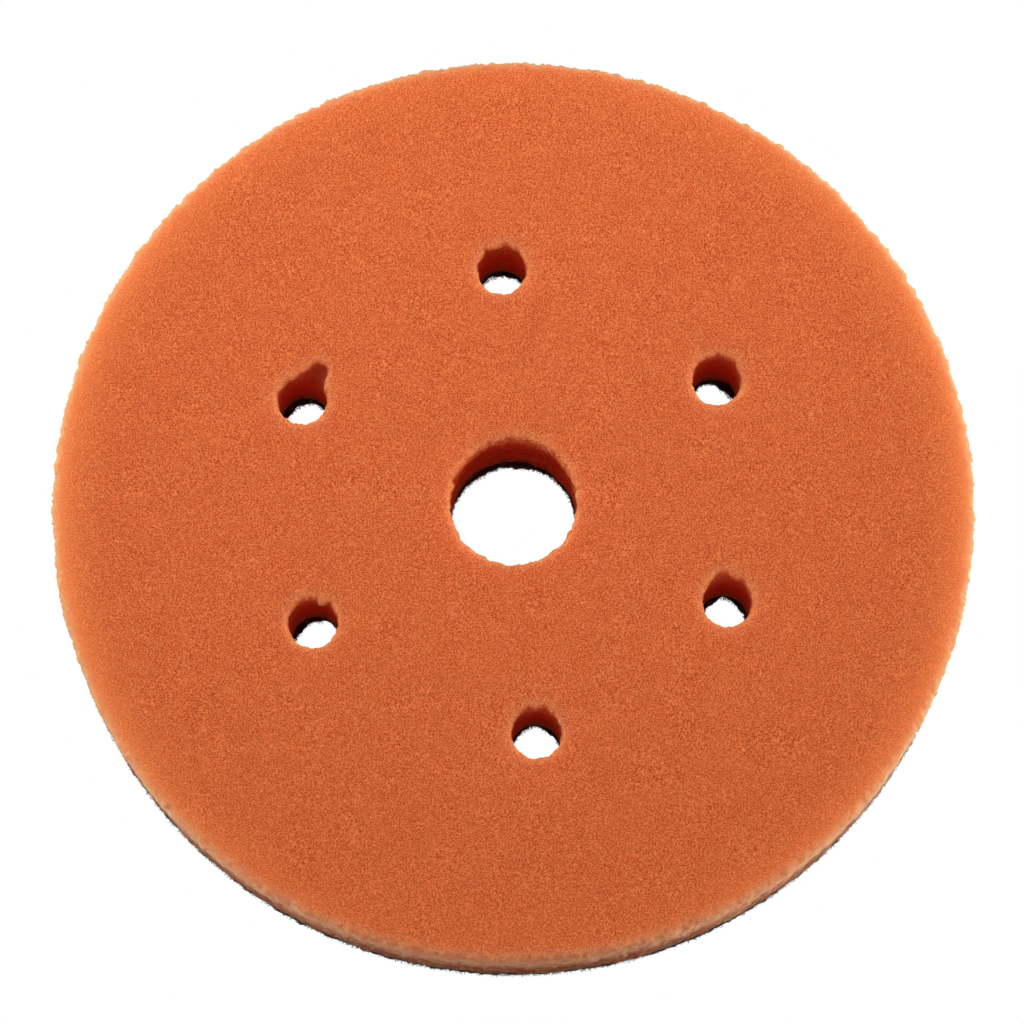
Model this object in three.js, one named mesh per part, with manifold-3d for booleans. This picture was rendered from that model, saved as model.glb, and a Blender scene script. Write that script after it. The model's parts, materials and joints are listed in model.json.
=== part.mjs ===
// Foam polishing pad for a 150 mm backing plate: an open-cell foam disc, a hot-melt film and a
// brushed loop cloth, bonded in a stack and punched through with a centre bore and six vents.
// Millimetres. The origin is the centre of the loop face, and +Z points to the working face.

import * as THREE from 'three';
import { mergeVertices } from 'three/addons/utils/BufferGeometryUtils.js';
import Module from 'manifold-3d';

const wasm = await Module();
wasm.setup();

// Driving dimensions

const padDiameter = 156;      // the foam stands 3 mm past its 150 mm backing plate all round
const loopThickness = 2.4;    // ground cloth and loops, lightly pressed
const filmThickness = 0.3;    // hot-melt film, with what soaks into the foam and the cloth
const foamThickness = 16.6;
const workEdgeRound = 1.2;    // soft outer corner of the working face

const centreBore = 21.4;      // diameter
const centreMouthRound = 0.9; // the foam's corner slumps a little where the punch went in
const ventBore = 8.5;         // diameter
const ventMouthRound = 0.6;
const ventCircle = 80;        // diameter of the circle that the vents are punched on
const firstVentAngle = 33;    // degrees from +X

// The vents are punched by hand in soft foam, so each lands a little off its even place:
// turn is in degrees round the circle, and reach in millimetres out from it.
const ventPunches = [
  { turn: -1.5, reach: 0.6 },
  { turn: -0.3, reach: 0.8 },
  { turn: 0.6, reach: 0.1 },
  { turn: -1.2, reach: -0.3 },
  { turn: 2.5, reach: -0.1 },
  { turn: 1.5, reach: -0.1 },
];

// How finely round shapes are divided

const rimSegments = 96;
const centreSegments = 48;
const ventSegments = 24;
const edgeSteps = 5;
const mouthSteps = 3;
const punchOvershoot = 2;     // how far a punch runs past the faces it cuts

// The stack, from the loop face up

const loopBottom = 0;
const filmBottom = loopBottom + loopThickness;
const foamBottom = filmBottom + filmThickness;
const workFace = foamBottom + foamThickness;

// Solids

function toSolid(geometry) {
  const bare = geometry.clone();
  bare.deleteAttribute('normal');
  bare.deleteAttribute('uv');
  const merged = mergeVertices(bare);
  const triVerts = [];
  for (let i = 0; i < merged.index.count; i += 3) {
    const corners = [0, 1, 2].map((k) => merged.index.getX(i + k));
    const isFlat = new Set(corners).size < corners.length;   // a sliver at the pole
    if (!isFlat) triVerts.push(...corners);
  }
  return new wasm.Manifold(new wasm.Mesh({
    numProp: 3,
    vertProperties: new Float32Array(merged.attributes.position.array),
    triVerts: new Uint32Array(triVerts),
  }));
}

function toGeometry(solid) {
  const { vertProperties, triVerts } = solid.getMesh();
  const geometry = new THREE.BufferGeometry();
  geometry.setAttribute('position', new THREE.BufferAttribute(vertProperties, 3));
  geometry.setIndex(new THREE.BufferAttribute(triVerts, 1));
  geometry.computeVertexNormals();
  return geometry;
}

// A quarter turn about (x, z), from one angle to the other, as points for a lathe.
function quarterRound(x, z, radius, fromAngle, toAngle, steps) {
  const points = [];
  for (let i = 0; i <= steps; i++) {
    const angle = fromAngle + (toAngle - fromAngle) * i / steps;
    points.push(new THREE.Vector2(x + radius * Math.cos(angle), z + radius * Math.sin(angle)));
  }
  return points;
}

function spin(points, segments) {
  return new THREE.LatheGeometry(points, segments).rotateX(Math.PI / 2);
}

// A disc of the pad's diameter, with its upper outer corner rounded if edgeRound isn't 0.
function blankDisc(bottom, top, edgeRound) {
  const radius = padDiameter / 2;
  const corner = edgeRound > 0
    ? quarterRound(radius - edgeRound, top - edgeRound, edgeRound, 0, Math.PI / 2, edgeSteps)
    : [new THREE.Vector2(radius, top)];
  return spin([
    new THREE.Vector2(0, bottom),
    new THREE.Vector2(radius, bottom),
    ...corner,
    new THREE.Vector2(0, top),
  ], rimSegments);
}

// The tool that cuts one hole from bottom to top, flared at the top by mouthRound.
function punch(diameter, bottom, top, mouthRound, segments) {
  const radius = diameter / 2;
  const flare = mouthRound > 0
    ? quarterRound(radius + mouthRound, top - mouthRound, mouthRound, Math.PI, Math.PI / 2, mouthSteps)
    : [];
  return spin([
    new THREE.Vector2(0, bottom - punchOvershoot),
    new THREE.Vector2(radius, bottom - punchOvershoot),
    ...flare,
    new THREE.Vector2(radius + mouthRound, top + punchOvershoot),
    new THREE.Vector2(0, top + punchOvershoot),
  ], segments);
}

function ventPlaces() {
  const evenStep = 360 / ventPunches.length;
  return ventPunches.map(({ turn, reach }, i) => {
    const angle = THREE.MathUtils.degToRad(firstVentAngle + i * evenStep + turn);
    const distance = ventCircle / 2 + reach;
    return new THREE.Vector2(distance * Math.cos(angle), distance * Math.sin(angle));
  });
}

// One layer of the stack, punched with the centre bore and every vent.
function punchedLayer(bottom, top, edgeRound, centreRound, ventRound) {
  let layer = toSolid(blankDisc(bottom, top, edgeRound));
  layer = layer.subtract(toSolid(punch(centreBore, bottom, top, centreRound, centreSegments)));
  for (const place of ventPlaces()) {
    const tool = punch(ventBore, bottom, top, ventRound, ventSegments);
    layer = layer.subtract(toSolid(tool.translate(place.x, place.y, 0)));
  }
  return toGeometry(layer);
}

// Pieces

function foamDisc() {
  const geometry = punchedLayer(foamBottom, workFace, workEdgeRound, centreMouthRound, ventMouthRound);
  const orangeFoam = new THREE.MeshStandardMaterial({ color: 0xd36637, roughness: 0.95, metalness: 0 });
  const mesh = new THREE.Mesh(geometry, orangeFoam);
  mesh.name = 'foam_disc';
  return mesh;
}

function adhesiveFilm() {
  const geometry = punchedLayer(filmBottom, foamBottom, 0, 0, 0);
  const amberHotMelt = new THREE.MeshStandardMaterial({ color: 0x4a2a1c, roughness: 0.45, metalness: 0 });
  const mesh = new THREE.Mesh(geometry, amberHotMelt);
  mesh.name = 'adhesive_film';
  return mesh;
}

function loopBacking() {
  const geometry = punchedLayer(loopBottom, filmBottom, 0, 0, 0);
  const blackNylon = new THREE.MeshStandardMaterial({ color: 0x1d1816, roughness: 0.9, metalness: 0 });
  const mesh = new THREE.Mesh(geometry, blackNylon);
  mesh.name = 'loop_backing';
  return mesh;
}

const polishingPad = new THREE.Group();
polishingPad.name = 'polishing_pad';
polishingPad.add(foamDisc(), adhesiveFilm(), loopBacking());

export default polishingPad;
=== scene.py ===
import json
import math

import bmesh
import bpy
from mathutils import Matrix, Vector, noise


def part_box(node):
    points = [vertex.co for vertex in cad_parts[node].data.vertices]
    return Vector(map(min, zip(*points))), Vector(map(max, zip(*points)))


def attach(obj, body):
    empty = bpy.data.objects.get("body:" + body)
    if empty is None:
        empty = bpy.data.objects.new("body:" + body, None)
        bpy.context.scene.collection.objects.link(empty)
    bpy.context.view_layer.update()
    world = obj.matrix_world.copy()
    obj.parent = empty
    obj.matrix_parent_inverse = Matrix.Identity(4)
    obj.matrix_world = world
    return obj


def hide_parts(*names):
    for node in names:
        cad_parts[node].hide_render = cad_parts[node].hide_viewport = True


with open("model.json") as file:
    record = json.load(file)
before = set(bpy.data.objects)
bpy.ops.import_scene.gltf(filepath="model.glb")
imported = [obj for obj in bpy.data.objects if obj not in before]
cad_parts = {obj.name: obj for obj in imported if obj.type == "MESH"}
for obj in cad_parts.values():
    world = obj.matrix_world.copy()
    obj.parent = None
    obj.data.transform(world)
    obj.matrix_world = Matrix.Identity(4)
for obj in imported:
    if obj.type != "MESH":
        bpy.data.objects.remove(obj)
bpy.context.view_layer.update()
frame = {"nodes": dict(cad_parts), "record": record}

print("frame loaded:", sorted(frame["nodes"]))

# Pieces are shaped in millimetres and scaled to metres at the end, because bmesh works
# badly on lengths under a tenth of a millimetre.
mm = 0.001


# Small helpers

def linearColour(hexCode):
    values = [int(hexCode[i:i + 2], 16) / 255 for i in (0, 2, 4)]
    linear = [v / 12.92 if v <= 0.04045 else ((v + 0.055) / 1.055) ** 2.4 for v in values]
    return (*linear, 1.0)


def addNode(tree, kind, settings=None, inputs=None):
    node = tree.nodes.new(kind)
    for name, value in (settings or {}).items():
        setattr(node, name, value)
    for socket, value in (inputs or {}).items():
        if isinstance(value, bpy.types.NodeSocket):
            tree.links.new(value, node.inputs[socket])
        else:
            node.inputs[socket].default_value = value
    return node


def newMaterial(name):
    material = bpy.data.materials.new(name)
    material.use_nodes = True
    material.node_tree.nodes.clear()
    return material, material.node_tree


def smoothStep(low, high, value):
    t = min(1.0, max(0.0, (value - low) / (high - low)))
    return t * t * (3 - 2 * t)


def quarterRound(x, z, radius, fromDegrees, toDegrees, steps):
    points = []
    for i in range(steps + 1):
        angle = math.radians(fromDegrees + (toDegrees - fromDegrees) * i / steps)
        points.append((x + radius * math.cos(angle), z + radius * math.sin(angle)))
    return points


def evenly(low, high, spacing):
    # the values from low to high, about spacing apart
    count = max(1, round(abs(high - low) / spacing))
    return [low + (high - low) * i / count for i in range(count + 1)]


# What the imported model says, in millimetres

def readHoles():
    # a hole's centre and radius come from the film's points that lie nearest to its opening's middle
    rimReach = 0.6
    rimPoints = [v.co.xy / mm for v in frame["nodes"]["adhesive_film"].data.vertices]
    holes = []
    for opening in frame["record"]["physics"]["openings"]:
        low, high = (Vector(corner[:2]) / mm for corner in opening["box_m"])
        middle = (low + high) / 2
        nearest = min((p - middle).length for p in rimPoints)
        rim = [p for p in rimPoints if (p - middle).length < nearest + rimReach]
        lowest = Vector((min(p.x for p in rim), min(p.y for p in rim)))
        highest = Vector((max(p.x for p in rim), max(p.y for p in rim)))
        holes.append({
            "name": opening["name"],
            "centre": (lowest + highest) / 2,
            "radius": (highest - lowest).x / 2,
        })
    return holes


holes = readHoles()
foamLow, foamHigh = (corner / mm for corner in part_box("foam_disc"))
filmLow, filmHigh = (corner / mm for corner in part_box("adhesive_film"))
clothLow, clothHigh = (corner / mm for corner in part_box("loop_backing"))
padRadius = (foamHigh.x - foamLow.x) / 2
print("pad radius", round(padRadius, 2), "holes", [(h["name"], round(h["radius"], 2)) for h in holes])


# Making a punched disc: a wall is bent round the rim and round each hole, the flat between
# them is a square grid, and the two are bridged.

def drawWall(bm, profile, centre, steps):
    # profile: (distance from the axis, height) of each row, from the bottom up
    rows = len(profile) - 1
    made = bmesh.ops.create_grid(bm, x_segments=steps, y_segments=rows, size=0.5)
    seam = [v for v in made["verts"] if abs(v.co.x) > 0.5 - 0.25 / steps]
    for vert in made["verts"]:
        turn = math.tau * (vert.co.x + 0.5)
        radius, height = profile[round((vert.co.y + 0.5) * rows)]
        vert.co = (centre.x + radius * math.cos(turn), centre.y + radius * math.sin(turn), height)
    bmesh.ops.remove_doubles(bm, verts=seam, dist=0.001)


def gridBetween(bm, height, spacing, outerRing, innerRings):
    # outerRing: the radius of the last ring inside the rim. innerRings: the centre and radius of
    # the last ring round each hole. The grid is made a little above its place, because
    # bridge_loops can't tell which way two rings in one plane should face each other.
    lift = 2.0
    gap = 0.85 * spacing
    bridgeReach = 3 * spacing
    smoothReach = 4 * spacing
    smoothRounds = 8
    steps = math.ceil(2 * outerRing / spacing)
    made = bmesh.ops.create_grid(bm, x_segments=steps, y_segments=steps, size=steps * spacing / 2,
                                 matrix=Matrix.Translation((0, 0, height + lift)))
    gridFaces = {face for vert in made["verts"] for face in vert.link_faces}
    unwanted = []
    for face in gridFaces:
        middle = face.calc_center_median().xy
        outside = middle.length > outerRing - gap
        inHole = any((middle - centre).length < radius + gap for centre, radius in innerRings)
        if outside or inHole:
            unwanted.append(face)
    bmesh.ops.delete(bm, geom=unwanted, context="FACES")
    gridVerts = [v for v in made["verts"] if v.is_valid]
    rings = [(Vector((0, 0)), outerRing)] + list(innerRings)
    planes = (height, height + lift)
    openEdges = [e for e in bm.edges
                 if e.is_boundary and min(abs(e.verts[0].co.z - z) for z in planes) < 0.01]
    for centre, radius in rings:
        nearby = [e for e in openEdges
                  if abs((e.verts[0].co.xy - centre).length - radius) < bridgeReach]
        bmesh.ops.bridge_loops(bm, edges=nearby)
    bmesh.ops.translate(bm, vec=(0, 0, -lift), verts=gridVerts)
    nearRings = [v for v in gridVerts
                 if any(abs((v.co.xy - centre).length - radius) < smoothReach for centre, radius in rings)]
    for _ in range(smoothRounds):
        bmesh.ops.smooth_vert(bm, verts=nearRings, factor=0.5, use_axis_x=True, use_axis_y=True)


def finishPiece(bm, name, material, smooth=True):
    bmesh.ops.scale(bm, vec=(mm, mm, mm), verts=bm.verts)
    mesh = bpy.data.meshes.new(name)
    bm.to_mesh(mesh)
    bm.free()
    for polygon in mesh.polygons:
        polygon.use_smooth = smooth
    mesh.materials.append(material)
    piece = bpy.data.objects.new(name, mesh)
    bpy.context.scene.collection.objects.link(piece)
    triangles = sum(len(p.vertices) - 2 for p in mesh.polygons)
    print(name, "made,", triangles, "triangles")
    return piece


# Polyurethane foam, cut from slab: every face is a cut through open cells about a third of a
# millimetre across, so it looks matt and grainy, glows at thin edges and goes deep red inside.

foamFinish = {
    "strut": "ee8a52",        # cell walls that catch the light
    "pore": "b43e08",         # open cells between them
    "glow": "f79c58",         # painted light near the rim, standing in for light that gets into the cells from the side too
    "paintedSheen": "dc9c74",         # painted sheen on cut edges, where broken cells stand up and fade
    "wall": "e4906a",         # outer wall, paler and greyer: painted sheen of a face seen edge-on
    "foot": "884029",         # painted shade on its lowest part, by the adhesive, darker towards the foot
    "boreDeep": "de3c0e",     # down the bore, where light has bounced many times
    "ventDeep": "ea521c",     # the same in a vent, which is narrower and darker
    "cellSize": 0.36,         # mm
    "grainSize": 0.23,        # the cut ends of the struts, drawn as coarse as they show
    "mottleSize": 2.6,
    "wobbleSize": 0.9,        # of the wave that bends the rows of cells
    "wobbleReach": 0.5,
    "cellLight": (-0.05, 0.6),     # what a cell adds to the strut's share, from its middle out
    "grainLight": (-0.46, 0.88),   # what the grain adds, from its darkest to its lightest
    "mottleLight": 0.24,           # how far apart the mottling's lightest and darkest are
    "cellRelief": 0.10,       # mm
    "bumpStrength": 0.35,
    "roughness": 0.9,
    "lightDepth": 8.0,        # how far red light travels in the foam, mm
    "lightShares": (1.0, 0.45, 0.25),   # how far each colour gets of that
    "inwardShare": 0.9,       # of the light goes in
    "gloss": 0.1,
    "dustySheen": 0.06,
}


def foamMaterial():
    material, tree = newMaterial("orange_open_cell_foam")
    place = addNode(tree, "ShaderNodeTexCoord").outputs["Object"]
    wobble = addNode(tree, "ShaderNodeTexNoise", inputs={
        "Vector": place, "Scale": 1 / (foamFinish["wobbleSize"] * mm), "Detail": 2.0, "Roughness": 0.6})
    bent = addNode(tree, "ShaderNodeVectorMath", {"operation": "MULTIPLY_ADD"}, {
        0: wobble.outputs["Color"], 1: (foamFinish["wobbleReach"] * mm,) * 3, 2: place})
    cells = addNode(tree, "ShaderNodeTexVoronoi", {"feature": "F1"}, {
        "Vector": bent.outputs[0], "Scale": 1 / (foamFinish["cellSize"] * mm), "Randomness": 1.0})
    grain = addNode(tree, "ShaderNodeTexNoise", inputs={
        "Vector": place, "Scale": 1 / (foamFinish["grainSize"] * mm), "Detail": 1.0, "Roughness": 0.5})
    mottle = addNode(tree, "ShaderNodeTexNoise", inputs={
        "Vector": place, "Scale": 1 / (foamFinish["mottleSize"] * mm), "Detail": 3.0, "Roughness": 0.55})
    darkCell, lightCell = foamFinish["cellLight"]
    cellLight = addNode(tree, "ShaderNodeMapRange", inputs={
        "Value": cells.outputs["Distance"], "From Min": 0.05, "From Max": 0.95,
        "To Min": darkCell, "To Max": lightCell})
    darkGrain, lightGrain = foamFinish["grainLight"]
    grainLight = addNode(tree, "ShaderNodeMapRange", inputs={
        "Value": grain.outputs["Fac"], "From Min": 0.2, "From Max": 0.8,
        "To Min": darkGrain, "To Max": lightGrain})
    mottleLight = addNode(tree, "ShaderNodeMath", {"operation": "MULTIPLY_ADD"}, {
        0: mottle.outputs["Fac"], 1: foamFinish["mottleLight"], 2: -foamFinish["mottleLight"] / 2})
    fineLight = addNode(tree, "ShaderNodeMath", {"operation": "ADD"}, {
        0: cellLight.outputs["Result"], 1: grainLight.outputs["Result"]})
    lit = addNode(tree, "ShaderNodeMath", {"operation": "ADD", "use_clamp": True}, {
        0: fineLight.outputs[0], 1: mottleLight.outputs[0]})
    skin = addNode(tree, "ShaderNodeMix", {"data_type": "RGBA"}, {
        0: lit.outputs[0], 6: linearColour(foamFinish["pore"]), 7: linearColour(foamFinish["strut"])})
    # markFoam paints how much of each shade a point has, and a later shade covers an earlier one
    # of these shades, the rim's is painted light, the cut corners' and the outer wall's are painted sheen,
    # and the wall's foot is painted shade
    shades = (("rimPaintedLight", "glow"), ("edgePaintedSheen", "paintedSheen"), ("outerWall", "wall"),
              ("wallFootShade", "foot"), ("boreDepth", "boreDeep"), ("ventDepth", "ventDeep"))
    colour = skin
    for attribute, shade in shades:
        share = addNode(tree, "ShaderNodeAttribute", {"attribute_name": attribute})
        colour = addNode(tree, "ShaderNodeMix", {"data_type": "RGBA"}, {
            0: share.outputs["Fac"], 6: colour.outputs[2], 7: linearColour(foamFinish[shade])})
    bump = addNode(tree, "ShaderNodeBump", inputs={
        "Strength": foamFinish["bumpStrength"], "Distance": foamFinish["cellRelief"] * mm,
        "Height": lit.outputs[0]})
    shader = addNode(tree, "ShaderNodeBsdfPrincipled", {"subsurface_method": "RANDOM_WALK"}, {
        "Base Color": colour.outputs[2],
        "Roughness": foamFinish["roughness"],
        "Specular IOR Level": foamFinish["gloss"],
        "Subsurface Weight": foamFinish["inwardShare"],
        "Subsurface Radius": foamFinish["lightShares"],
        "Subsurface Scale": foamFinish["lightDepth"] * mm,
        "Sheen Weight": foamFinish["dustySheen"],
        "Sheen Roughness": 0.5,
        "Sheen Tint": (1.0, 0.82, 0.68, 1.0),
        "Normal": bump.outputs["Normal"],
    })
    addNode(tree, "ShaderNodeOutputMaterial", inputs={"Surface": shader.outputs[0]})
    return material


# The foam disc

foam = {
    "edgeRound": 1.2,          # soft outer corner of the working face, mm
    "mouthRound": 0.8,         # at each hole
    "boreEase": 0.15,          # how far the wall of the bore has sprung back after the punch
    "rimSteps": 1500,
    "boreSteps": 210,
    "ventSteps": 90,
    "cornerSteps": 6,
    "mouthSteps": 4,
    "rimRows": (0.4, 0.9, 1.5),   # rows of the face inside the outer corner, mm from it
    "mouthRows": (0.35, 0.8),     # and round a mouth
    "wallSpacing": 0.62,
    "faceSpacing": 1.0,
    "underSpacing": 3.0,
}

# How much of each shade the foam has, from 0 to 1, how wide it spreads, in mm, and between
# which depths below the working face it sets in or dies out.
foamPaint = {
    "rimZone": 2.5,            # how near the outer wall a point counts as on it
    "holeZone": 1.0,
    "glow": 0.06,              # painted light near the rim, all round
    "glowSides": 0.30,         # painted light that the left and right sides have more, where the side lamps shine in
    "glowRear": 0.06,
    "glowWidth": 6.0,
    "glowClose": 0.3,          # a narrower band of painted light on top of that, at the sides only
    "glowCloseWidth": 2.6,
    # painted sheen on the outer corner and round each mouth
    "sheenCorner": 0.62,
    "sheenCornerWidth": 1.3,
    "sheenMouth": 0.24,
    "sheenMouthWidth": 1.5,
    "sheenMouthEnds": (0, 0.6),
    "sheenLip": 0.42,           # painted sheen just inside a vent
    "sheenLipStarts": (0.4, 3),
    "sheenLipEnds": (3, 12),
    # the outer wall's paler painted sheen
    "wall": 0.9,
    "wallStarts": (0.2, 2.2),
    # painted shade, darker towards the foot of the outer wall
    "foot": 0.95,
    "footStarts": (3, foamHigh.z - foamLow.z - 4),
    "boreStarts": (-0.2, 5.0),
    "ventStarts": (-3.0, 11.0),
}

# How far the cut surface stands off its plain shape. A wave is its strength, the waves in a mm
# and a shift.
foamRelief = {
    "slowWave": (0.12, 0.16, (7, 3, 1)),
    "roughWaves": ((0.9, 0.55, (1, 9, 4)), (0.8, 1.25, (0, 0, 0)), (0.7, 2.4, (3, 3, 8))),
    "face": 0.04,              # how much of the rough waves the face gets, mm
    "wall": 0.30,              # what a wall gets more than the face
    "wallStarts": (0.3, 1.5),  # mm below the working face
    "edge": 0.34,              # what a corner gets more
    "edgeEnds": (0.3, 2.0),    # mm from the corner
    "inVents": 0.6,            # share of the last two that a vent gets
}

# Where the punch tore the foam instead of cutting it. The outline gives how far the wall stands
# out (or in) at each angle from +X, in degrees and mm; it dies out at the given depth below the
# working face.
tears = {
    "vent_left_rear": {"depth": 7.5, "outline": [
        (28, 0), (37, 0.5), (44, 1.5), (51, 2.5), (58, 2.9), (68, 2.8), (75, 2.1), (82, 1.1),
        (92, 0.4), (105, 0.0), (115, -0.2), (125, -0.1), (145, -0.3), (165, 0)]},
    "vent_rear": {"depth": 3.5, "outline": [
        (50, 0), (62, -0.15), (85, 0.1), (100, -0.2), (118, -0.2), (130, 0.35), (142, -0.15), (160, 0)]},
    "vent_left_front": {"depth": 2.6, "outline": [
        (20, 0), (32, -0.1), (45, 0.25), (54, 0.1), (62, -0.55), (72, -0.6), (80, -0.1), (110, -0.1),
        (128, 0.15), (145, 0)]},
    "vent_front": {"depth": 3.0, "outline": [
        (40, 0), (60, 0.15), (70, 0.5), (80, 0.1), (92, -0.2), (102, 0.3), (120, 0.1), (140, 0)]},
    "vent_right_front": {"depth": 3.2, "outline": [
        (40, 0), (52, 0.3), (66, -0.2), (78, 0.1), (88, 0.75), (98, 0.7), (110, 0.5), (124, 0.1), (145, 0)]},
    "vent_right_rear": {"depth": 3.0, "outline": [
        (30, 0), (45, 0.25), (65, 0.1), (88, 0.2), (108, -0.15), (130, 0.1), (155, 0.2), (170, 0)]},
}


def foamProfiles():
    # (distance from the axis or from the hole's wall, height) of each row, from the bottom up
    bottom, top = foamLow.z, foamHigh.z
    edgeRound, mouthRound, spacing = foam["edgeRound"], foam["mouthRound"], foam["wallSpacing"]
    rim = [(padRadius, z) for z in evenly(bottom, top - edgeRound, spacing)][:-1]
    rim += quarterRound(padRadius - edgeRound, top - edgeRound, edgeRound, 0, 90, foam["cornerSteps"])
    rim += [(padRadius - edgeRound - step, top) for step in foam["rimRows"]]
    mouth = quarterRound(mouthRound, top - mouthRound, mouthRound, 180, 90, foam["mouthSteps"])
    mouth += [(mouthRound + step, top) for step in foam["mouthRows"]]
    wall = [(0, z) for z in evenly(bottom, top - mouthRound, spacing)][:-1]
    return rim, wall + mouth


def shapeFoam():
    bm = bmesh.new()
    rim, hole = foamProfiles()
    drawWall(bm, rim, Vector((0, 0)), foam["rimSteps"])
    upperRings, lowerRings = [], []
    for item in holes:
        isBore = item["name"] == "centre_bore"
        steps = foam["boreSteps"] if isBore else foam["ventSteps"]
        radius = item["radius"] + (foam["boreEase"] if isBore else 0)
        drawWall(bm, [(radius + x, z) for x, z in hole], item["centre"], steps)
        upperRings.append((item["centre"], radius + hole[-1][0]))
        lowerRings.append((item["centre"], radius))
    gridBetween(bm, foamHigh.z, foam["faceSpacing"], rim[-1][0], upperRings)
    gridBetween(bm, foamLow.z, foam["underSpacing"], padRadius, lowerRings)
    bmesh.ops.recalc_face_normals(bm, faces=bm.faces)
    return bm


def along(points, x):
    # the value at x on a smooth line through (x, value) points
    for (x0, y0), (x1, y1) in zip(points, points[1:]):
        if x0 <= x <= x1:
            return y0 + (y1 - y0) * smoothStep(x0, x1, x)
    return 0


def tearFoam(bm):
    farthest = 8       # mm from a hole's wall, past which no tear reaches
    fullTo = 0.12      # share of its depth to which a tear is as wide as at the face
    for item in holes:
        tear = tears.get(item["name"])
        if not tear:
            continue
        for vert in bm.verts:
            away = vert.co.xy - item["centre"]
            if away.length > item["radius"] + farthest:
                continue
            reach = along(tear["outline"], math.degrees(math.atan2(away.y, away.x)))
            down = 1 - smoothStep(fullTo, 1, (foamHigh.z - vert.co.z) / tear["depth"])
            beyond = away.length - item["radius"] - foam["mouthRound"]
            pulled = 2.0 * abs(reach) + 1.2     # how wide a stretch of the face moves with it, mm
            fade = 1 - smoothStep(0, pulled, beyond)
            vert.co.xy += away.normalized() * reach * down * fade


def nearness(distance, width):
    return math.exp(-(distance / width) ** 2)


def markFoam(bm):
    # rimPaintedLight: painted light that fades in over the outer millimetres, most at the two sides.
    # edgePaintedSheen: painted sheen on the outer corner, round each mouth and just inside a vent.
    # outerWall: a paler painted sheen on the outer wall, and wallFootShade: painted shade at its bottom.
    # boreDepth and ventDepth: grow to 1 down a hole. toEdge: mm from the nearest cut corner.
    names = ("rimPaintedLight", "edgePaintedSheen", "outerWall", "wallFootShade", "boreDepth", "ventDepth", "toEdge")
    rimPaintedLight, edgePaintedSheen, outerWall, wallFootShade, boreDepth, ventDepth, toEdge = [
        bm.verts.layers.float.new(name) for name in names]
    paint = foamPaint
    for vert in bm.verts:
        p = vert.co
        toHole, nearest = min((abs((p.xy - hole["centre"]).length - hole["radius"]), hole["name"])
                              for hole in holes)
        toRim = abs(p.xy.length - padRadius)
        down = foamHigh.z - p.z
        onRim = toRim < paint["rimZone"]
        inHole = toHole < paint["holeZone"] and down > 0.05
        inBore = inHole and nearest == "centre_bore"
        inVent = inHole and nearest != "centre_bore"
        # the rim's painted light, strongest at the sides and a little towards the rear, where the lamps
        # shine in
        sideways = (p.x / padRadius) ** 2
        rearward = smoothStep(0, padRadius, p.y)
        broadPaintedLight = paint["glow"] + paint["glowSides"] * sideways + paint["glowRear"] * rearward
        closePaintedLight = paint["glowClose"] * sideways
        # painted sheen on the cut corners, round the mouths and just inside a vent
        cornerSheen = paint["sheenCorner"] * nearness(toRim, paint["sheenCornerWidth"])
        atMouth = nearness(toHole, paint["sheenMouthWidth"]) * (1 - smoothStep(*paint["sheenMouthEnds"], down))
        mouthSheen = paint["sheenMouth"] * atMouth
        onLip = smoothStep(*paint["sheenLipStarts"], down) * (1 - smoothStep(*paint["sheenLipEnds"], down))
        lipSheen = paint["sheenLip"] * onLip if inVent else 0
        vert[rimPaintedLight] = (broadPaintedLight * nearness(toRim, paint["glowWidth"])
                         + closePaintedLight * nearness(toRim, paint["glowCloseWidth"]))
        vert[edgePaintedSheen] = max(cornerSheen, mouthSheen, lipSheen)
        # painted sheen on the outer wall
        vert[outerWall] = paint["wall"] * smoothStep(*paint["wallStarts"], down) if onRim else 0
        # painted shade, darker towards the wall's foot
        vert[wallFootShade] = paint["foot"] * smoothStep(*paint["footStarts"], down) if onRim else 0
        vert[boreDepth] = smoothStep(*paint["boreStarts"], down) if inBore else 0
        vert[ventDepth] = smoothStep(*paint["ventStarts"], down) if inVent else 0
        vert[toEdge] = math.hypot(min(toHole, toRim), down)


def wave(point, strength, rate, shift):
    return strength * noise.noise(point * rate + Vector(shift))


def roughenFoam(bm):
    # Cut foam is never quite flat or round: cells stand out by a fraction of a millimetre, and
    # more on the walls and where two cut faces meet. The face that is glued stays flat.
    bm.normal_update()
    toEdge = bm.verts.layers.float["toEdge"]
    ventDepth = bm.verts.layers.float["ventDepth"]
    moves = []
    for vert in bm.verts:
        p = vert.co
        if p.z < foamLow.z + 0.02:
            moves.append(Vector((0, 0, 0)))
            continue
        onWall = smoothStep(*foamRelief["wallStarts"], foamHigh.z - p.z)
        edge = 1 - smoothStep(*foamRelief["edgeEnds"], vert[toEdge])
        if vert[ventDepth] > 0:
            onWall *= foamRelief["inVents"]
            edge *= foamRelief["inVents"]
        slow = wave(p, *foamRelief["slowWave"])
        rough = sum(wave(p, *roughWave) for roughWave in foamRelief["roughWaves"])
        reach = foamRelief["face"] + foamRelief["wall"] * onWall + foamRelief["edge"] * edge
        moves.append(vert.normal * (slow + reach * rough))
    for vert, move in zip(bm.verts, moves):
        vert.co += move


def makeFoamDisc():
    bm = shapeFoam()
    markFoam(bm)
    tearFoam(bm)
    roughenFoam(bm)
    piece = finishPiece(bm, "foam_pad", foamMaterial())
    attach(piece, "root")
    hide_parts("foam_disc")


makeFoamDisc()


# The hot-melt film: a thin dark amber line between foam and cloth, wetter than either.

filmFinish = {
    "amber": "4a2a1c",
    "dark": "1e100a",
    "blotchSize": 1.6,         # mm
    "blotchRelief": 0.1,
    "roughness": 0.42,
}

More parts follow.
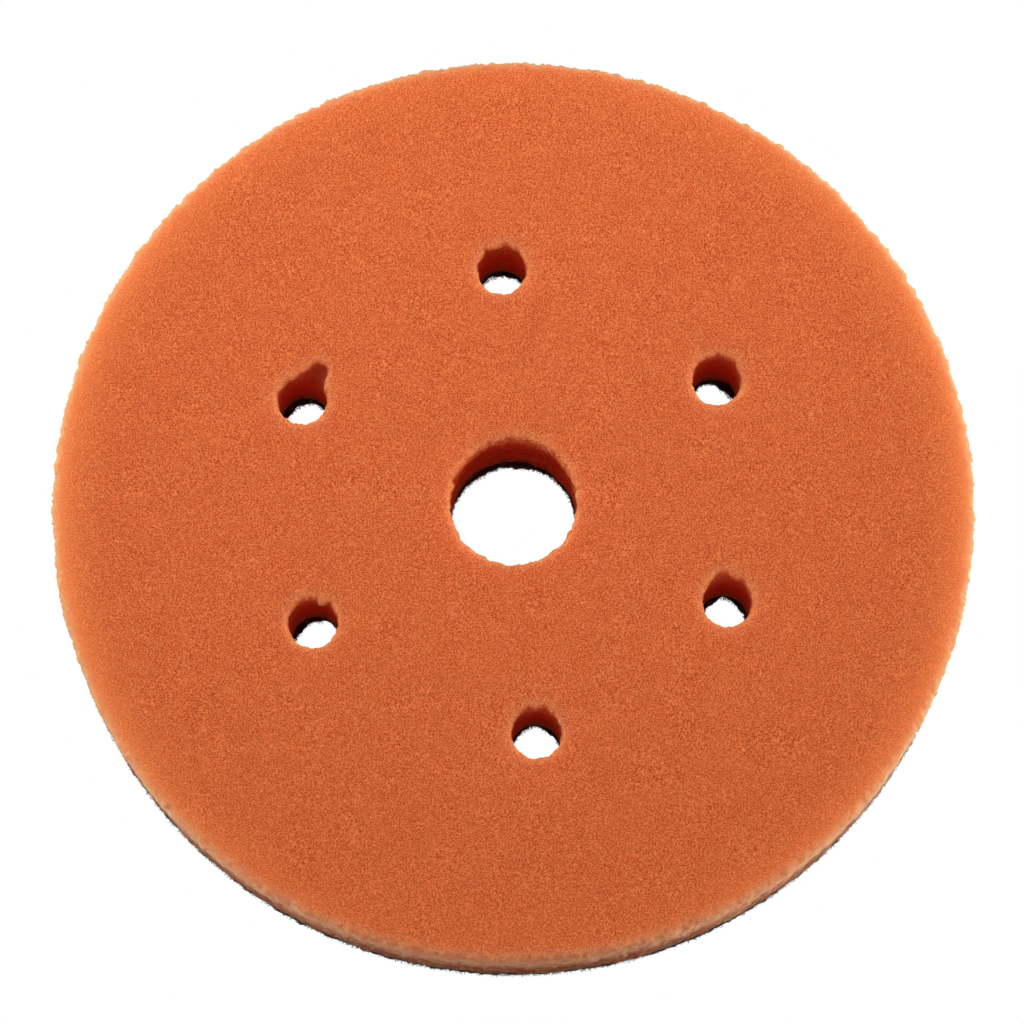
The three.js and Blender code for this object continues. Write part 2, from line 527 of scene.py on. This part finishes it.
film = {
    "rimSteps": 700,
    "boreSteps": 110,
    "ventSteps": 54,
    "gridSpacing": 3.4,
    "squeezeOut": 0.10,        # how far it bulges out between foam and cloth, mm
    "setBack": 0.05,           # of its upper and lower edge, behind the pad's rim
    "holeShift": 0.05,         # how much wider its holes are than the pad's
    "seed": 5,
    "unevenness": 0.22,
}


def filmMaterial():
    material, tree = newMaterial("dark_amber_hot_melt")
    place = addNode(tree, "ShaderNodeTexCoord").outputs["Object"]
    blotch = addNode(tree, "ShaderNodeTexNoise", inputs={
        "Vector": place, "Scale": 1 / (filmFinish["blotchSize"] * mm), "Detail": 3.0, "Roughness": 0.6})
    colour = addNode(tree, "ShaderNodeMix", {"data_type": "RGBA"}, {
        0: blotch.outputs["Fac"], 6: linearColour(filmFinish["dark"]), 7: linearColour(filmFinish["amber"])})
    bump = addNode(tree, "ShaderNodeBump", inputs={
        "Strength": 0.4, "Distance": filmFinish["blotchRelief"] * mm, "Height": blotch.outputs["Fac"]})
    shader = addNode(tree, "ShaderNodeBsdfPrincipled", inputs={
        "Base Color": colour.outputs[2],
        "Roughness": filmFinish["roughness"],
        "IOR": 1.48,
        "Normal": bump.outputs["Normal"],
    })
    addNode(tree, "ShaderNodeOutputMaterial", inputs={"Surface": shader.outputs[0]})
    return material


def punchedLayer(profile, steps, spacing, holeShift):
    # profile: (distance beyond the edge, height) of each row, the same at the rim and in a hole,
    # from the bottom up
    bm = bmesh.new()
    rim = [(padRadius + x, z) for x, z in profile]
    drawWall(bm, rim, Vector((0, 0)), steps["rimSteps"])
    upperRings, lowerRings = [], []
    for item in holes:
        count = steps["boreSteps"] if item["name"] == "centre_bore" else steps["ventSteps"]
        wall = [(item["radius"] + holeShift - x, z) for x, z in profile]
        drawWall(bm, wall, item["centre"], count)
        upperRings.append((item["centre"], wall[-1][0]))
        lowerRings.append((item["centre"], wall[0][0]))
    gridBetween(bm, profile[-1][1], spacing, rim[-1][0], upperRings)
    gridBetween(bm, profile[0][1], spacing, rim[0][0], lowerRings)
    bmesh.ops.recalc_face_normals(bm, faces=bm.faces)
    return bm


def wobbleEdges(bm, amount, seed):
    # moves what lies near an edge in and out, and nothing farther than goneBy from it, in mm
    fullTo, goneBy = 0.8, 1.6
    shift = Vector((seed, 2 * seed, 0))
    for vert in bm.verts:
        p = vert.co
        centre, near = Vector((0, 0)), abs(p.xy.length - padRadius)
        for item in holes:
            distance = abs((p.xy - item["centre"]).length - item["radius"])
            if distance < near:
                centre, near = item["centre"], distance
        if near < goneBy:
            away = (p.xy - centre).normalized()
            swing = wave(p, 1, 0.5, shift) + wave(p, 0.8, 1.2, shift)
            p.xy += away * swing * amount * (1 - smoothStep(fullTo, goneBy, near))


def makeFilm():
    low, high, back = filmLow.z, filmHigh.z, film["setBack"]
    profile = [(-back, low), (film["squeezeOut"], (low + high) / 2), (-back, high)]
    bm = punchedLayer(profile, film, film["gridSpacing"], film["holeShift"])
    wobbleEdges(bm, film["unevenness"], film["seed"])
    piece = finishPiece(bm, "hot_melt_film", filmMaterial())
    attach(piece, "root")
    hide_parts("adhesive_film")


makeFilm()


# The loop cloth: a black warp-knitted nylon ground, raised on its lower side into a close pile
# of small loops. It looks soft and nearly black; a few pale specks are painted highlights of
# filaments that catch the light.

clothFinish = {
    "thread": "2a201c",
    # pale specks: painted highlights of filaments catching the light
    "glint": "7c7066",
    "glintSize": 0.9,           # mm
    "glintStarts": (0.52, 0.74),    # where in the noise the painted highlights begin and are full
    "waleSpacing": 0.9,        # ribs of the knit, drawn as coarse as they show
    "knitRelief": 0.16,
    "roughness": 0.78,
    "gloss": 0.35,
    "fuzz": 0.45,              # sheen of the fine filaments
}

cloth = {
    "groundBottom": 0.95,      # height of the knitted ground above the tips of the loops, mm
    "holeShift": -0.22,        # the cloth stands into each hole, because foam gives way to a punch
    "rimSteps": 900,
    "boreSteps": 150,
    "ventSteps": 80,
    "gridSpacing": 3.0,
    "edgeCurl": 0.15,          # how far the lower edge rounds off
    "edgeBulge": 0.05,
    "unevenness": 0.42,
    "seed": 17,
}

# How far the cloth stands into each hole beyond that, at each angle from +X, in degrees and mm.
creeps = {
    "centre_bore": [(-180, -0.4), (-140, 0), (-40, 0), (0, -0.4), (30, -0.3), (60, 0), (85, 0.35),
                    (100, 0.2), (125, 0.35), (150, -0.1), (180, -0.4)],
    "vent_rear": [(40, 0), (62, 0.05), (85, 0.15), (105, 0.25), (122, 0.1), (145, 0)],
    "vent_right_rear": [(8, 0), (30, 0.8), (62, 0.85), (82, 0.2), (110, 0.0), (150, 0.3), (178, 0)],
    "vent_left_rear": [(40, 0), (60, 0.15), (80, 0.15), (108, 0.6), (135, 0.8), (160, 0.5), (179, 0)],
    "vent_right_front": [(15, 0), (45, 0.35), (72, 0.1), (98, -0.15), (112, 0.2), (140, 0.3), (172, 0)],
    "vent_left_front": [(20, 0), (52, -0.35), (72, -0.3), (84, 0.3), (98, 0.1), (130, 0.5),
                        (160, 0.6), (179, 0)],
    "vent_front": [(25, 0), (58, 0.1), (88, -0.3), (115, 0.1), (150, 0)],
}

pile = {
    "loopRadius": 0.46,        # mm
    "loopHeight": 0.85,
    "threadRadius": 0.06,
    "loopSteps": 6,
    "threadSides": 3,
    "spacing": 0.98,
    "lean": 0.45,              # radians
    "edgeMargin": 0.35,        # how far in from the cloth's edge the pile starts
    "rootDepth": 0.05,         # how deep in the ground a loop starts
    "seed": 11,
}

fringe = {
    "hairLength": 0.26,        # how far it stands out, mm
    "hairRadius": 0.05,
    "bendRadius": 0.4,
    "bend": 100,               # degrees
    "spacing": 0.27,
    "lean": 0.9,
    "rootDepth": 0.1,          # how deep in the cloth's cut edge a hair starts
    "below": 0.5,              # how far under the ground the fraying goes
    "seed": 23,
}


def clothMaterial(name, knitted):
    material, tree = newMaterial(name)
    place = addNode(tree, "ShaderNodeTexCoord").outputs["Object"]
    # pale specks of painted highlight, where filaments catch the light
    glint = addNode(tree, "ShaderNodeTexNoise", inputs={
        "Vector": place, "Scale": 1 / (clothFinish["glintSize"] * mm), "Detail": 3.0, "Roughness": 0.65})
    glintFrom, glintTo = clothFinish["glintStarts"]
    share = addNode(tree, "ShaderNodeMapRange", {"interpolation_type": "SMOOTHSTEP"}, {
        "Value": glint.outputs["Fac"], "From Min": glintFrom, "From Max": glintTo})
    colour = addNode(tree, "ShaderNodeMix", {"data_type": "RGBA"}, {
        0: share.outputs["Result"],
        6: linearColour(clothFinish["thread"]), 7: linearColour(clothFinish["glint"])})
    shader = addNode(tree, "ShaderNodeBsdfPrincipled", inputs={
        "Base Color": colour.outputs[2],
        "Roughness": clothFinish["roughness"],
        "IOR": 1.53,
        "Specular IOR Level": clothFinish["gloss"],
        "Sheen Weight": clothFinish["fuzz"],
        "Sheen Roughness": 0.45,
        "Sheen Tint": (0.9, 0.85, 0.8, 1.0),
    })
    if knitted:
        # a wave texture has a band every tau / 20 units at a scale of 1
        wales = addNode(tree, "ShaderNodeTexWave", {"bands_direction": "X"}, {
            "Vector": place, "Scale": math.tau / 20 / (clothFinish["waleSpacing"] * mm),
            "Distortion": 1.2, "Detail": 2.0, "Detail Scale": 2.0})
        bump = addNode(tree, "ShaderNodeBump", inputs={
            "Strength": 0.8, "Distance": clothFinish["knitRelief"] * mm, "Height": wales.outputs["Fac"]})
        tree.links.new(bump.outputs["Normal"], shader.inputs["Normal"])
    addNode(tree, "ShaderNodeOutputMaterial", inputs={"Surface": shader.outputs[0]})
    return material


def wearCloth(piece):
    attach(piece, "root")
    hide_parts("loop_backing")


def creepCloth(bm):
    reachOut = 3       # mm from a hole's wall, where the cloth lies as it was cut
    for item in holes:
        outline = creeps[item["name"]]
        for vert in bm.verts:
            away = vert.co.xy - item["centre"]
            beyond = away.length - item["radius"]
            if beyond < reachOut:
                reach = along(outline, math.degrees(math.atan2(away.y, away.x)))
                vert.co.xy -= away.normalized() * reach * (1 - smoothStep(0, reachOut, beyond))


def makeGround():
    low, high = cloth["groundBottom"], clothHigh.z
    curl, bulge = cloth["edgeCurl"], cloth["edgeBulge"]
    profile = [(-curl, low), (0.0, low + curl), (bulge, (low + high) / 2), (-bulge, high)]
    bm = punchedLayer(profile, cloth, cloth["gridSpacing"], cloth["holeShift"])
    creepCloth(bm)
    wobbleEdges(bm, cloth["unevenness"], cloth["seed"])
    piece = finishPiece(bm, "loop_cloth_ground", clothMaterial("black_knitted_nylon", True))
    wearCloth(piece)
    return piece


def makeArch(radius, height, thickness, sides, steps, sweep):
    # a thread bent over in an arch that rises along +Z; a sweep under 180 leaves one end free
    bm = bmesh.new()
    start = Matrix.Translation((radius, 0, 0))
    bmesh.ops.create_circle(bm, segments=sides, radius=thickness, cap_ends=True, matrix=start)
    bmesh.ops.spin(bm, geom=bm.faces[:] + bm.edges[:] + bm.verts[:], cent=(0, 0, 0), axis=(0, -1, 0),
                   angle=math.radians(sweep), steps=steps, use_duplicate=False)
    bmesh.ops.holes_fill(bm, edges=[e for e in bm.edges if e.is_boundary], sides=sides)
    bmesh.ops.recalc_face_normals(bm, faces=bm.faces)
    bmesh.ops.scale(bm, vec=(1, 1, height / radius), verts=bm.verts)
    return bm


def toObject(bm, name):
    mesh = bpy.data.meshes.new(name)
    bm.to_mesh(mesh)
    bm.free()
    made = bpy.data.objects.new(name, mesh)
    bpy.context.scene.collection.objects.link(made)
    return made


def scatter(name, surface, shape, spacing, lean, seed, material):
    # copies of shape stand on surface along its normals, turned, leaned and scaled at random, as
    # close as spacing lets them
    smallest, largest = 0.72, 1.22
    crowding = 2.2
    tree = bpy.data.node_groups.new(name, "GeometryNodeTree")
    tree.interface.new_socket("Geometry", in_out="INPUT", socket_type="NodeSocketGeometry")
    tree.interface.new_socket("Geometry", in_out="OUTPUT", socket_type="NodeSocketGeometry")
    given = addNode(tree, "NodeGroupInput")
    points = addNode(tree, "GeometryNodeDistributePointsOnFaces", {"distribute_method": "POISSON"}, {
        "Mesh": given.outputs[0], "Distance Min": spacing, "Density Max": crowding / spacing ** 2,
        "Seed": seed})
    turn = addNode(tree, "FunctionNodeRandomValue", {"data_type": "FLOAT_VECTOR"}, {
        "Min": (-lean, -lean, 0), "Max": (lean, lean, math.tau), "Seed": seed + 1})
    turned = addNode(tree, "FunctionNodeRotateRotation", {"rotation_space": "LOCAL"}, {
        "Rotation": points.outputs["Rotation"], "Rotate By": turn.outputs["Value"]})
    size = addNode(tree, "FunctionNodeRandomValue", {"data_type": "FLOAT"}, {"Seed": seed + 2})
    size.inputs[2].default_value = smallest
    size.inputs[3].default_value = largest
    source = addNode(tree, "GeometryNodeObjectInfo", inputs={"Object": shape})
    copies = addNode(tree, "GeometryNodeInstanceOnPoints", inputs={
        "Points": points.outputs["Points"], "Instance": source.outputs["Geometry"],
        "Rotation": turned.outputs[0], "Scale": size.outputs[1]})
    real = addNode(tree, "GeometryNodeRealizeInstances", inputs={"Geometry": copies.outputs[0]})
    addNode(tree, "NodeGroupOutput", inputs={0: real.outputs[0]})
    surface.modifiers.new("scatter", "NODES").node_group = tree
    evaluated = surface.evaluated_get(bpy.context.evaluated_depsgraph_get())
    mesh = bpy.data.meshes.new_from_object(evaluated)
    bpy.data.objects.remove(surface)
    bpy.data.node_groups.remove(tree)
    bm = bmesh.new()
    bm.from_mesh(mesh)
    bpy.data.meshes.remove(mesh)
    piece = finishPiece(bm, name, material)
    wearCloth(piece)
    return piece


def makeUnderside(quarter):
    # the flat that a quarter of the pile stands on, facing down; quarter holds the directions
    # that lie outside it
    bm = bmesh.new()
    height = cloth["groundBottom"] + pile["rootDepth"]
    rows = (height - 0.1, height)      # a low strip, which only gives the flat its edges
    rimRadius = padRadius - pile["edgeMargin"]
    rings = []
    drawWall(bm, [(rimRadius, z) for z in rows], Vector((0, 0)), 240)
    for item in holes:
        radius = item["radius"] + cloth["holeShift"] + pile["edgeMargin"]
        drawWall(bm, [(radius, z) for z in rows], item["centre"], 48)
        rings.append((item["centre"], radius))
    walls = bm.faces[:]
    gridBetween(bm, height, cloth["gridSpacing"], rimRadius, rings)
    bmesh.ops.delete(bm, geom=walls, context="FACES")
    for outward in quarter:
        bmesh.ops.bisect_plane(bm, geom=bm.faces[:] + bm.edges[:] + bm.verts[:], plane_co=(0, 0, 0),
                               plane_no=outward, clear_outer=True)
    for face in bm.faces:
        face.normal_update()
        if face.normal.z > 0:
            face.normal_flip()
    creepCloth(bm)
    return toObject(bm, "underside")


def makeCutEdges():
    # a strip round the rim and round each hole that the frayed ends stand on
    bm = bmesh.new()
    rows = (cloth["groundBottom"] - fringe["below"], clothHigh.z - 0.1)
    root = fringe["rootDepth"]
    drawWall(bm, [(padRadius - root, z) for z in rows], Vector((0, 0)), 240)
    turnFaces(bm.faces, Vector((0, 0)), away=True)
    for item in holes:
        before = set(bm.faces)
        radius = item["radius"] + cloth["holeShift"] + root
        drawWall(bm, [(radius, z) for z in rows], item["centre"], 60)
        turnFaces(set(bm.faces) - before, item["centre"], away=False)
    creepCloth(bm)
    return toObject(bm, "cut_edges")


def turnFaces(faces, centre, away):
    # turns the faces of an upright ring away from its centre, or towards it
    for face in faces:
        face.normal_update()
        outward = face.normal.xy.dot(face.calc_center_median().xy - centre) > 0
        if outward != away:
            face.normal_flip()


def makePile():
    material = clothMaterial("black_nylon_loops", False)
    arch = makeArch(pile["loopRadius"], pile["loopHeight"], pile["threadRadius"], pile["threadSides"],
                    pile["loopSteps"], 180)
    loop = toObject(arch, "loop")
    made = []
    seed = pile["seed"]
    quarters = ((-1, -1, "right_rear"), (1, -1, "left_rear"), (-1, 1, "right_front"), (1, 1, "left_front"))
    for x, y, name in quarters:
        underside = makeUnderside([(x, 0, 0), (0, y, 0)])
        made.append(scatter("loops_" + name, underside, loop, pile["spacing"], pile["lean"], seed, material))
        seed += 10
    hook = makeArch(fringe["bendRadius"], fringe["hairLength"], fringe["hairRadius"], 3, 3, fringe["bend"])
    bmesh.ops.translate(hook, vec=(-fringe["bendRadius"], 0, 0), verts=hook.verts)
    hair = toObject(hook, "hair")
    made.append(scatter("frayed_ends", makeCutEdges(), hair, fringe["spacing"], fringe["lean"],
                        fringe["seed"], material))
    for shape in (loop, hair):
        bpy.data.objects.remove(shape)
    return made


ground = makeGround()
pilePieces = makePile()


# Floor, light and camera

studio = {
    "lookAt": (-0.00023, 0.00247, 0),   # m
    "distance": 0.764,
    "elevation": 77.45,        # degrees
    "lens": 154.8,             # mm
    "sensor": 36,
    "floorDrop": 0.05,         # below the pad, mm
    "floorSize": 2500,
    "roomFill": 0.12,          # how strong the white room is as a light
    "lights": (                # name, place and size in m, and watts
        ("rear_softbox", (-0.05, 0.25, 0.42), 0.30, 1.88),
        ("left_softbox", (-0.75, 0.05, 0.14), 0.25, 3.7),
        ("right_softbox", (0.80, 0.05, 0.17), 0.25, 5.4),
        ("front_low", (0.05, -0.8, 0.10), 0.35, 1.65),
        ("under_softbox", (0.0, 0.75, -0.35), 0.5, 1.1),   # shows the loop face from below
    ),
}


def floorMaterial():
    # pure white from above; it lets light and the view through from below, so that the loop face
    # can be looked at too
    material, tree = newMaterial("white_sweep")
    path = addNode(tree, "ShaderNodeLightPath")
    side = addNode(tree, "ShaderNodeNewGeometry")
    glow = addNode(tree, "ShaderNodeEmission", inputs={"Color": (1, 1, 1, 1), "Strength": 1.0})
    clear = addNode(tree, "ShaderNodeBsdfTransparent")
    seen = addNode(tree, "ShaderNodeMath", {"operation": "SUBTRACT", "use_clamp": True}, {
        0: path.outputs["Is Camera Ray"], 1: side.outputs["Backfacing"]})
    mixed = addNode(tree, "ShaderNodeMixShader", inputs={
        0: seen.outputs[0], 1: clear.outputs[0], 2: glow.outputs[0]})
    addNode(tree, "ShaderNodeOutputMaterial", inputs={"Surface": mixed.outputs[0]})
    return material


def makeFloor():
    bm = bmesh.new()
    bmesh.ops.create_grid(bm, x_segments=2, y_segments=2, size=studio["floorSize"],
                          matrix=Matrix.Translation((0, 0, clothLow.z - studio["floorDrop"])))
    floor = finishPiece(bm, "floor", floorMaterial(), smooth=False)


def areaLight(name, place, size, watts):
    data = bpy.data.lights.new(name, "AREA")
    data.shape = "SQUARE"
    data.size = size
    data.energy = watts
    light = bpy.data.objects.new(name, data)
    light.location = place
    light.rotation_euler = Vector(place).to_track_quat("Z", "Y").to_euler()
    light.visible_camera = False
    bpy.context.scene.collection.objects.link(light)


def makeLights():
    for name, place, size, watts in studio["lights"]:
        areaLight(name, place, size, watts)
    world = bpy.data.worlds.new("studio_room")
    world.use_nodes = True
    # the room is white to the eye, but gives the pad only a weak fill
    seen = addNode(world.node_tree, "ShaderNodeLightPath").outputs["Is Camera Ray"]
    strength = addNode(world.node_tree, "ShaderNodeMapRange", inputs={
        "Value": seen, "To Min": studio["roomFill"], "To Max": 1.0})
    background = world.node_tree.nodes["Background"]
    background.inputs["Color"].default_value = (1, 1, 1, 1)
    world.node_tree.links.new(strength.outputs["Result"], background.inputs["Strength"])
    bpy.context.scene.world = world


def makeCamera():
    data = bpy.data.cameras.new("camera")
    data.lens = studio["lens"]
    data.sensor_width = studio["sensor"]
    data.clip_start = 0.01
    camera = bpy.data.objects.new("camera", data)
    tilt = math.radians(studio["elevation"])
    back = Vector((0, -math.cos(tilt), math.sin(tilt)))
    camera.location = Vector(studio["lookAt"]) + back * studio["distance"]
    camera.rotation_euler = back.to_track_quat("Z", "Y").to_euler()
    bpy.context.scene.collection.objects.link(camera)
    bpy.context.scene.camera = camera


makeFloor()
makeLights()
makeCamera()
bpy.context.scene.view_settings.view_transform = "Standard"
print("studio ready")
